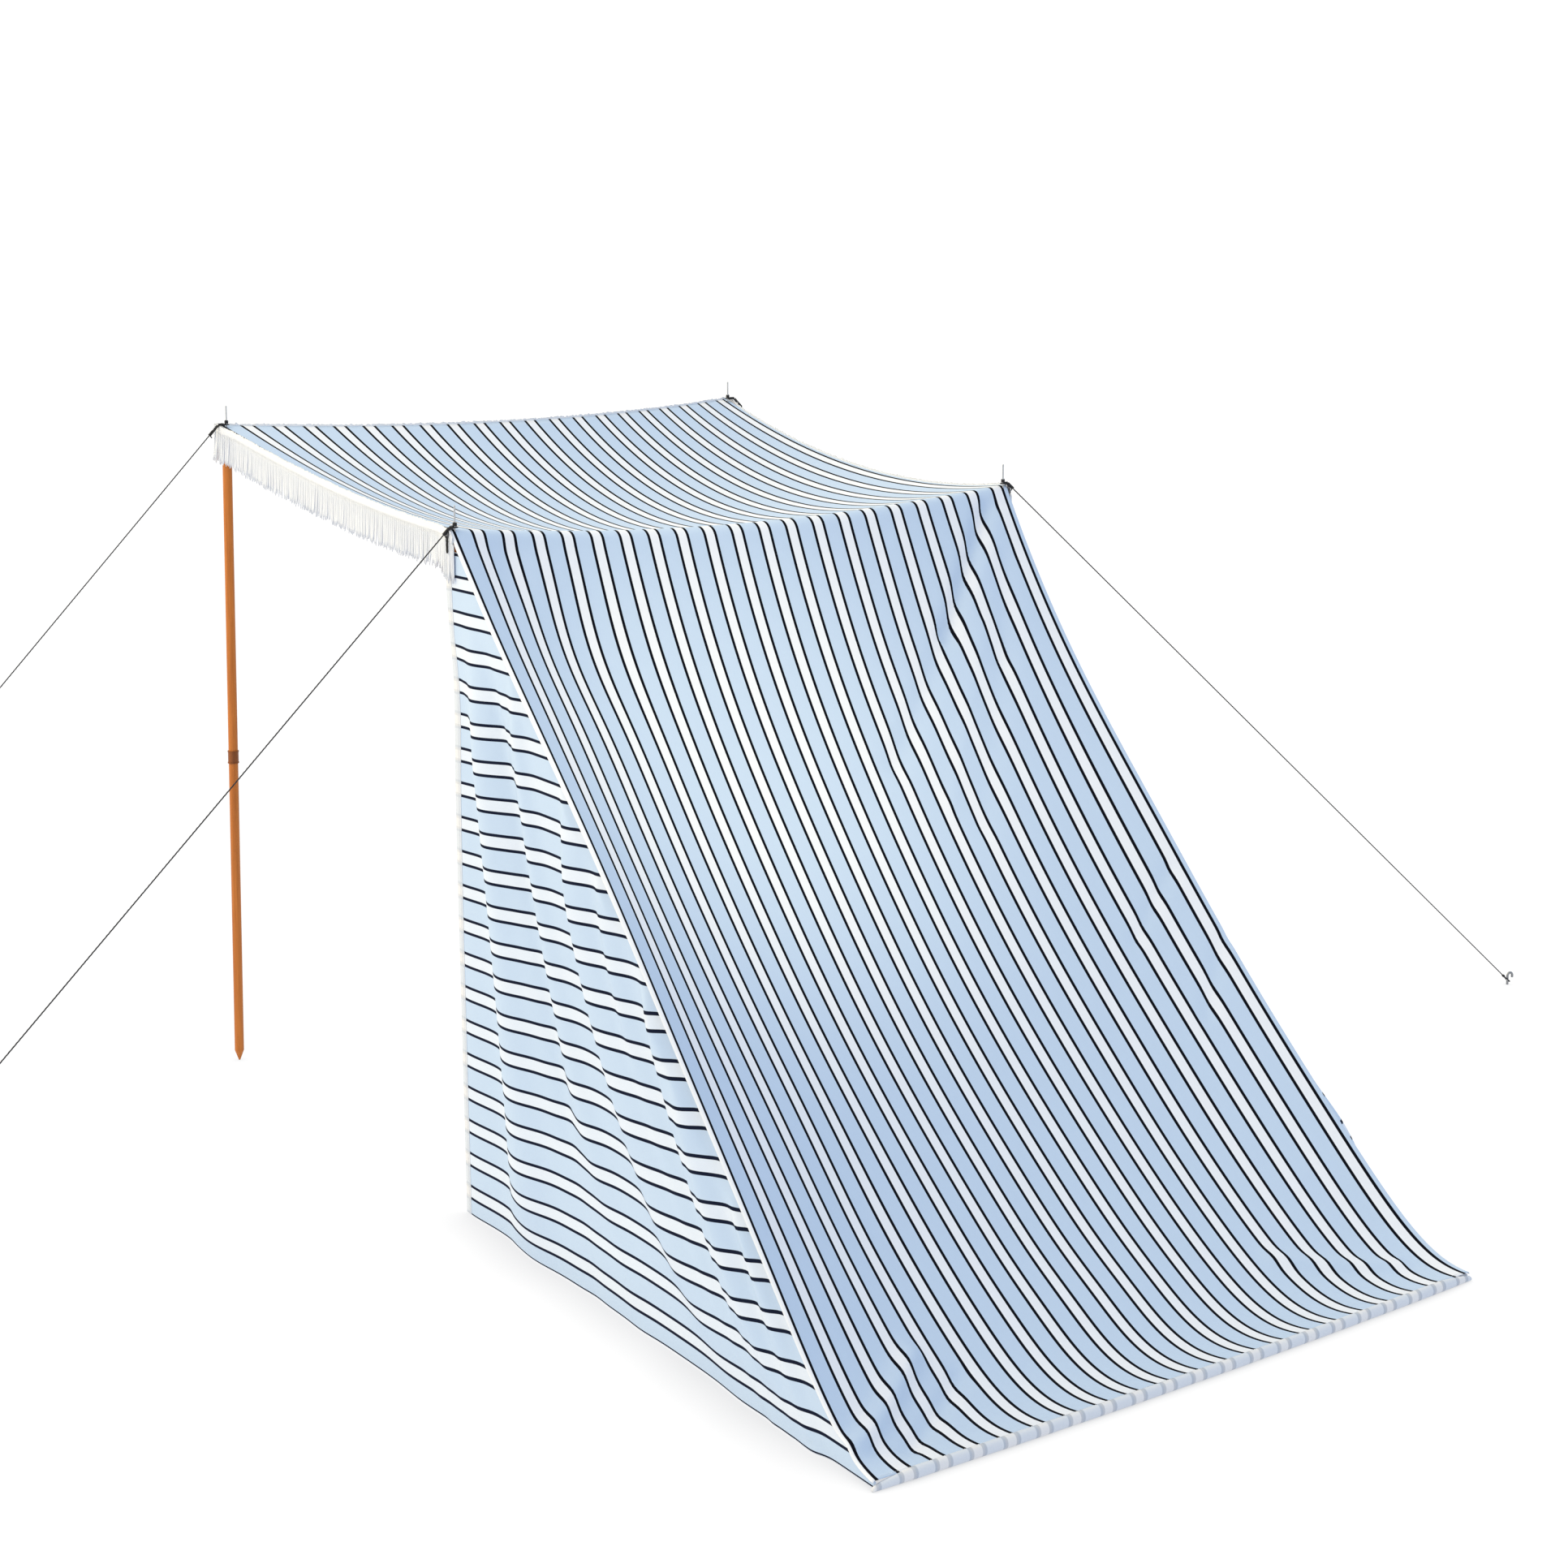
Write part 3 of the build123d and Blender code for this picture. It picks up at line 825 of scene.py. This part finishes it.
BAND_COUNT, BAND_LONG, BAND_AROUND = 420, 56, 0.08
fringes, bands = {}, {}
for side in ("left", "right", "front"):
    points, long = strands(side)
    fringes[side] = tubes_piece(f"{side}_fringe_strands", points, long, strand_finish)
    band = band_points(side, BAND_COUNT)
    if side != "right":
        band = band[:, ::-1]
    place = np.linspace(0, BAND_LONG, BAND_COUNT)
    flat = pair(place[:, None], np.linspace(0, BAND_AROUND, 13))
    bands[side] = grid_piece(f"{side}_fringe_band", band, flat, [band_finish], around=True)
    print(side, "fringe of", len(points), "strands")

# %% [markdown]
# ## Stitches
# A row of stitches holds the hem of the back wall and the turned hems of the side walls. A dashed
# line in a material would vanish from close by, so every stitch is a short bowed tube.

# %% Stitches
STITCH_GAP, STITCH_LONG, STITCH_RADIUS = 0.0040, 0.0029, 0.00042
STITCH_SHAPE = np.array([0.5, 1, 1, 1, 0.5])
HEM_STITCH_UP = 0.010


def stitches(path, outward):
    """Short tubes at an even gap along a path. Each rises from the cloth by half a cosine."""
    far = distances(path)
    place = np.arange(STITCH_GAP, far[-1] - STITCH_GAP, STITCH_GAP)
    centre, up = along_line(place, far, path), along_line(place, far, outward)
    run = unit(np.gradient(centre, axis=0))
    rings = np.linspace(-0.5, 0.5, len(STITCH_SHAPE))
    lift = STITCH_RADIUS * (1.5 * np.cos(np.pi * rings) - 0.4)
    middle = centre[:, None] + run[:, None] * (rings * STITCH_LONG)[:, None]
    middle = middle + up[:, None] * lift[:, None]
    tubes = rings_of(middle, up, np.cross(up, run), circle(4), STITCH_RADIUS * STITCH_SHAPE)
    return tubes, 0 * place + STITCH_LONG


stitch_rows = {}
stitch_x, stitch_along = np.meshgrid(
    np.linspace(-INSIDE_EDGE, INSIDE_EDGE, 300),
    BACK_LENGTH - HEM_STITCH_UP + np.array([-SLOPE_STEP, 0, SLOPE_STEP]))
strip = drape(stitch_x, stitch_along)
stitch_rows["hem"] = tubes_piece(
    "hem_stitches", *stitches(strip[1], normals(strip)[1]), strand_finish)
for side, sign in SIDES.items():
    path = wall_hem_lines[side] + np.array([sign * HEM_LIFT, 0, 0])
    outward = np.broadcast_to(np.array([sign, 0.0, 0.0]), path.shape)
    stitch_rows[side] = tubes_piece(
        f"{side}_wall_stitches", *stitches(path, outward), strand_finish)
print("stitch rows", [row.name for row in stitch_rows.values()])

# %% [markdown]
# ## Poles, pins and pegs
# The turned poles, the sleeves, the pins and the pegs have their right shape in the CAD model, so
# only their finish is new. Wood is a stack of stretched noise along the pole, with a thin varnish.


# %% Wood and steel
GRAIN_STRETCH = 0.035


def pole_wood(name, light, dark):
    """Stained hardwood: long grain stretched along the pole under a thin varnish."""
    material, wire, shader = new_finish(name)
    scale = {"Vector": object_place(wire), "Scale": (1.0, 1.0, GRAIN_STRETCH)}
    stretched = wire.node("Mapping", {}, scale)
    grain = stretched.noise(190.0, 6.0, Roughness=0.6)
    slow, pores = stretched.noise(45.0, 3.0), stretched.noise(800.0, 2.0)
    tone = grain * 0.55 + slow * 0.45
    band = (tone - 0.30).maths("DIVIDE", 0.40, clamp=True).mix(light, dark)
    dark_pore = (pores - 0.60).maths("MULTIPLY", 4.0, clamp=True)
    colour = (dark_pore * 0.35).mix(band, linear(70, 38, 16))
    bump = (grain + pores * 0.5).bump(0.2, 0.0004)
    plug(shader, Base_Color=colour, Roughness=0.34 + 0.25 * grain, Normal=bump,
         Coat_Weight=0.10, Coat_Roughness=0.25, Specular_IOR_Level=0.25)
    return material


def brushed_steel(name, light, dark, rough):
    """Bare metal: fine noise in tone and roughness."""
    material, wire, shader = new_finish(name)
    place = object_place(wire)
    fine, spots = place.noise(600.0, 3.0), place.noise(90.0, 4.0)
    colour = (fine * 0.5 + spots * 0.4).mix(light, dark)
    plug(shader, Base_Color=colour, Roughness=rough + 0.2 * spots, Normal=fine.bump(0.1, 0.0002),
         Metallic=1.0)
    return material


wood_finish = pole_wood("pole_wood", linear(206, 124, 50), linear(160, 89, 31))
sleeve_finish = pole_wood("sleeve_wood", linear(156, 88, 34), linear(104, 55, 20))
pin_finish = brushed_steel("pin_steel", linear(205, 207, 210), linear(150, 152, 156), 0.22)
peg_finish = brushed_steel("peg_steel", linear(170, 172, 176), linear(110, 112, 116), 0.35)
POLES = ("ridge_left", "ridge_right", "front_left", "front_right")
HARD_FINISHES = {
    "pole_lower": wood_finish, "pole_upper": wood_finish, "ferrule": sleeve_finish,
    "pin": pin_finish, "peg": peg_finish,
}
for pole in POLES:
    for part, finish in HARD_FINISHES.items():
        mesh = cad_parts[f"{pole}_{part}"].data
        mesh.materials.clear()
        mesh.materials.append(finish)
print("hard parts finished", len(POLES) * len(HARD_FINISHES))

# %% [markdown]
# ## Ropes
# A guy rope is a loop over the pin, a knot and one tight line to its peg. The line of the rope is
# a smooth curve led by a few points. Its section has three lobes that turn as they go along,
# which is what three twisted strands look like from outside. Each wall's top corner hangs from a
# short doubled cord that is made in the same way.

# %% Rope finish
def rope_finish_of(name):
    """Black twisted cord: near black, with random dust tone and painted shade that darkens the
    grooves of a fine twist.
    """
    material, wire, shader = new_finish(name)
    around, down = cloth_axes(wire)
    fibre = ((around * 6.0 + down * 900.0) * FULL_TURN).maths("SINE") * 0.5 + 0.5
    dust = object_place(wire).noise(300.0, 2.0)
    # Painted shade: the fine twist is darker in its grooves; the dust is random tone.
    colour = (fibre * 0.4 + dust * 0.4).mix(linear(14, 14, 16), linear(46, 46, 50))
    plug(shader, Base_Color=colour, Roughness=0.6 + 0.2 * dust, Normal=fibre.bump(0.3, 0.0003))
    return material


rope_finish = rope_finish_of("black_rope")
print("rope finish", rope_finish.name)

# %% Rope paths
ROPE_RADIUS = 0.0017
LAY, LOBE_DEPTH = 0.011, 0.14
ROPE_GUIDE = np.array([0.31, 0.22, 0.925])
PIN_RADIUS, PEG_RADIUS, CLEAR = 0.002, 0.0035, 0.0002
SAME_PLACE = 1e-7


def smooth_line(points):
    """Points of a NURBS curve of order 3 that starts and ends on its control points."""
    data = bpy.data.curves.new("route", "CURVE")
    data.dimensions = "3D"
    spline = data.splines.new("NURBS")
    spline.points.add(len(points) - 1)
    homogeneous = np.hstack([np.array(points, float), np.ones((len(points), 1))])
    spline.points.foreach_set("co", homogeneous.ravel().astype(np.float32))
    spline.order_u = 3
    spline.use_endpoint_u = True
    data.resolution_u = 24
    holder = bpy.data.objects.new("route", data)
    mesh = bpy.data.meshes.new_from_object(holder)
    line = np.empty(len(mesh.vertices) * 3, np.float32)
    mesh.vertices.foreach_get("co", line)
    bpy.data.objects.remove(holder)
    bpy.data.meshes.remove(mesh)
    bpy.data.curves.remove(data)
    return line.reshape(-1, 3).astype(float)


def evenly(line, gap):
    """The same line with points at an even gap."""
    line = line[np.diff(distances(line), prepend=-1) > SAME_PLACE]
    far = distances(line)
    place = np.linspace(0, far[-1], max(int(far[-1] / gap), 4))
    return along_line(place, far, line), place


def rope_grid(points, radius, gap=0.0018, sides=9):
    """A three lobed section carried along the line. The two directions of every ring are measured
    against one fixed slanted guide, so they turn smoothly, and the lobes turn once every 3 lays."""
    line, place = evenly(smooth_line(points), gap)
    run = unit(np.gradient(line, axis=0))
    over = unit(np.cross(run, ROPE_GUIDE))
    lift = np.cross(over, run)
    turn = circle(sides)
    wave = np.cos(3 * (turn - 2 * np.pi * place[:, None] / (3 * LAY)))
    lobes = radius * (1 - LOBE_DEPTH + LOBE_DEPTH * wave)
    grid = line[:, None] + spokes(over, lift, turn) * lobes[..., None]
    return grid, pair(np.linspace(0, 1, sides + 1), place[:, None])


def rope_piece(name, routes, radius):
    """One mesh of several rope runs."""
    made = []
    for number, route in enumerate(routes):
        grid, flat = rope_grid(route, radius)
        made.append(grid_piece(f"{name}_{number}", grid, flat, [rope_finish], around=True))
    with bpy.context.temp_override(
            active_object=made[0], object=made[0], selected_objects=made,
            selected_editable_objects=made):
        bpy.ops.object.join()
    made[0].name = name
    made[0].data.name = name
    return made[0]


# %% Guy ropes
RIDGE_LOOP, FRONT_LOOP, TAIL = (0.014, 0.012), (0.023, 0.027), 0.014
ROPE_EYE, EYE_KNOT = 0.014, 0.016
COIL_RADIUS, COIL_LONG, COIL_TURNS = 0.0031, 0.014, 5
TIGHT_COIL, GRIP_COIL, GRIP_TURNS = COIL_RADIUS * 0.95, COIL_RADIUS * 0.85, 3
LASH_TURNS, LASH_RISE = 3, 0.0026
ROPE_REACH = {"ridge": (1.785, 0.235), "front": (1.660, 0.0)}


def helix(middle, run, across, radius, long, turns):
    """Points of a coil: a circle across the run that moves on evenly along it."""
    turn = np.linspace(0, 2 * np.pi * turns, 12 * turns)
    around = spokes(across, np.cross(across, run), turn)
    return middle + run * (turn / turn[-1] * long)[:, None] + around * radius


def guy_rope(pole):
    """Routes of one guy rope: the line, the loop over the pin, the turns round the pin, the coils of
    both knots, the loose tail and the eye round the peg."""
    low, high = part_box(f"{pole}_pin")
    row, side_name = pole.split("_")
    ridge, sign = row == "ridge", SIDES[side_name]
    out, back = ROPE_REACH[row]
    height = RIDGE_HEIGHT if ridge else FRONT_HEIGHT
    heading = np.array([sign * out, -back, 0]) / np.hypot(out, back)
    across = np.array([-heading[1], heading[0], 0])
    pin = np.array([(low.x + high.x) / 2, (low.y + high.y) / 2, height + ROPE_RADIUS + CLEAR])
    peg = np.array([pin[0] + sign * out, pin[1] - back, ROPE_EYE])
    ring = PIN_RADIUS + CLEAR + ROPE_RADIUS
    loop_length, loop_drop = RIDGE_LOOP if ridge else FRONT_LOOP
    bend = pin + heading * loop_length
    run = unit(peg - bend)
    knot = bend + run * loop_drop
    side, behind = across * ring, heading * ring * 1.6
    wide = side * 1.2
    loop = [
        knot + across * 0.001, bend + side + run * 0.004, bend + side - heading * 0.006,
        pin + wide, pin + wide - behind, pin - wide - behind, pin - wide,
        bend - side - heading * 0.006, bend - side + run * 0.004, knot - across * 0.001,
    ]
    lash = helix(pin + UP * LASH_RISE, UP, heading, ring * 1.03, LASH_TURNS * LASH_RISE, LASH_TURNS)
    coil = helix(knot - run * 0.004, run, across, COIL_RADIUS, COIL_LONG, COIL_TURNS)
    bound = helix(
        pin + heading * 0.006, heading, across, TIGHT_COIL, loop_length - 0.007, COIL_TURNS)
    neck = helix(bend + run * 0.001, run, across, TIGHT_COIL, loop_drop - 0.005, COIL_TURNS)
    lift = np.cross(across, run)
    tail = [knot + run * 0.006, knot - UP * 0.004 + run * 0.007 - lift * 0.003, knot - UP * TAIL]
    eye = PEG_RADIUS + CLEAR + ROPE_RADIUS
    reach = run * eye / (run @ heading)
    hold = peg - reach - run * EYE_KNOT
    turn, beyond = across * eye * 1.12, reach * 1.1
    throat, pinch = peg - reach - run * 0.004, turn * 0.55
    end = [
        hold, throat + pinch, peg + turn, peg + turn + beyond,
        peg - turn + beyond, peg - turn, throat - pinch, hold,
    ]
    grip = helix(hold - run * 0.002, run, across, GRIP_COIL, COIL_LONG * 0.5, GRIP_TURNS)
    line = [knot - run * 0.002, knot + run * 0.30, knot + run * 0.9, hold]
    return [line, loop, lash, coil, bound, neck, tail, grip, end]


ropes = {}
for pole in POLES:
    ropes[pole] = rope_piece(f"{pole}_rope", guy_rope(pole), ROPE_RADIUS)
    print(ropes[pole].name, len(ropes[pole].data.polygons), "faces")

# %% Wall ties
TIE_INSET = {"left": 0.0, "right": 0.008}
TIE_SPREAD = 0.0022
ties = {}
for side, sign in SIDES.items():
    low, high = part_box(f"{side}_wall_tie")
    x, y = (low.x + high.x) / 2 - sign * TIE_INSET[side], (low.y + high.y) / 2
    top, foot = high.z, low.z
    routes = []
    for shift in (-TIE_SPREAD, TIE_SPREAD):
        routes.append([
            (x, y + shift, foot - 0.006), (x, y + shift * 1.3, foot + 0.012),
            (x, y + shift * 1.6, top - 0.016), (x - sign * 0.004, y + shift, top - 0.001),
        ])
    ties[side] = rope_piece(f"{side}_tie_cord", routes, ROPE_RADIUS * 0.9)
print("ties", [tie.name for tie in ties.values()])

# %% [markdown]
# ## Floor and light
# A white floor and a soft sky give the nearly shadowless light of a studio. The floor glows by
# itself, with a painted contact shadow where the cloth is near. The camera sees the sky as white,
# but it lights the tent more from the far left, so poles and folds have a light and a dark side.
# One lamp brightens the middle of the back wall, and another the roof and the top of the left wall.

# %% Floor
FLOOR_HALF = 30.0
CONTACT_REACH, FLOOR_LEVEL = 0.16, 1.03
floor_finish, floor_wire, floor_shader = new_finish("studio_floor")
# Painted contact shadow: ambient occlusion turns the floor's glow grey where cloth is near.
painted_contact_shadow = floor_wire.node(
    "AmbientOcclusion", {"samples": 12}, {"Distance": CONTACT_REACH}, out="AO")
plug(floor_shader, Emission_Color=painted_contact_shadow.mix(linear(205, 206, 209), (1.0, 1.0, 1.0, 1.0)),
     Emission_Strength=FLOOR_LEVEL, Base_Color=(0.02, 0.02, 0.02, 1.0), Roughness=0.9,
     Specular_IOR_Level=0.0)
floor_edge = np.linspace(-FLOOR_HALF, FLOOR_HALF, 3)
floor_x, floor_y = np.meshgrid(floor_edge, floor_edge)
floor = grid_piece(
    "floor", np.stack([floor_x, floor_y, 0 * floor_x], axis=-1)[:, ::-1],
    pair(floor_x, floor_y), [floor_finish])
print("floor", FLOOR_HALF * 2, "metres wide")

# %% Light
SKY_DARK, SKY_BRIGHT = (0.40, 0.56, 0.82, 1.0), (2.15, 1.92, 1.42, 1.0)
SKY_SEEN = (1.2, 1.2, 1.2, 1.0)
SKY_AXIS = (-0.59, 0.807, 0.0)
# A lamp: its place, the point it looks at, its power, its opening angle, its size and its colour.
LAMPS = {
    "back_lamp": ((-0.45, -2.1, 2.3), (-0.22, -0.20, 1.12), 92.0, 0.74, 0.3, (1.0, 0.82, 0.43)),
    "side_lamp": ((-3.0, 0.7, 3.2), (-0.50, 0.55, 1.50), 92.0, 1.10, 0.6, (1.0, 0.85, 0.55)),
}
world = bpy.data.worlds.new("studio")
world.use_nodes = True
sky = Wire(world.node_tree)
toward = sky.node("TexCoord", {}, {}, out="Generated")
bright_side = sky.node(
    "VectorMath", {"operation": "DOT_PRODUCT"}, {0: toward, 1: SKY_AXIS}, out="Value")
seen = sky.node("LightPath", {}, {}, out="Is Camera Ray")
glow = seen.mix((bright_side * 0.5 + 0.5).mix(SKY_DARK, SKY_BRIGHT), SKY_SEEN)
plug(world.node_tree.nodes["Background"], Color=glow)
scene.world = world
for name, (lamp_place, lamp_aim, power, angle, size, colour) in LAMPS.items():
    lamp_data = bpy.data.lights.new(name, "SPOT")
    lamp_data.energy, lamp_data.color = power, colour
    lamp_data.spot_size, lamp_data.spot_blend = angle, 1.0
    lamp_data.shadow_soft_size = size
    lamp = bpy.data.objects.new(name, lamp_data)
    lamp.location = lamp_place
    aim = Vector(lamp_aim) - Vector(lamp_place)
    lamp.rotation_euler = aim.to_track_quat("-Z", "Y").to_euler()
    scene.collection.objects.link(lamp)
scene.view_settings.view_transform = "Standard"
print("sky from", SKY_DARK[:3], "to", SKY_BRIGHT[:3], "and lamps", list(LAMPS))

# %% [markdown]
# ## Riding the frame
# Nothing on this object moves, so every new piece rides on the one body. The CAD solids that a
# soft piece stands for are hidden.

# %% Ride and replace
REPLACED = {
    canopy: (["canopy_sheet"], "striped_cloth"),
    hem: (["back_hem"], "cloth_reverse"),
}
for side in SIDES:
    REPLACED[walls[side]] = ([f"{side}_side_wall"], "striped_cloth")
    REPLACED[wall_hems[side]] = ([f"{side}_wall_front_hem"], "cloth_reverse")
    REPLACED[ties[side]] = ([f"{side}_wall_tie"], "black_rope")
for side, piece in fringes.items():
    REPLACED[piece] = ([f"{side}_fringe"], "cotton_fringe")
    REPLACED[bands[side]] = ([], "cotton_fringe")
for piece in stitch_rows.values():
    REPLACED[piece] = ([], "cloth_reverse")
for pole, piece in ropes.items():
    REPLACED[piece] = ([f"{pole}_guy_rope"], "black_rope")
for piece, (nodes, slot) in REPLACED.items():
    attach(piece, "root")
    if nodes:
        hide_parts(*nodes)


def sheet_area(points):
    """Area of a grid: half the cross products of the diagonals of its faces."""
    one = points[1:, 1:] - points[:-1, :-1]
    two = points[1:, :-1] - points[:-1, 1:]
    return float(np.linalg.norm(np.cross(one, two), axis=-1).sum() / 2)


canopy_area = sheet_area(sheet_points)
for side, sign in SIDES.items():
    wall_area = sheet_area(wall_points(wall_share, wall_height, sign))
    print(side, "wall area", round(wall_area, 3))
print("canopy area", round(canopy_area, 3))
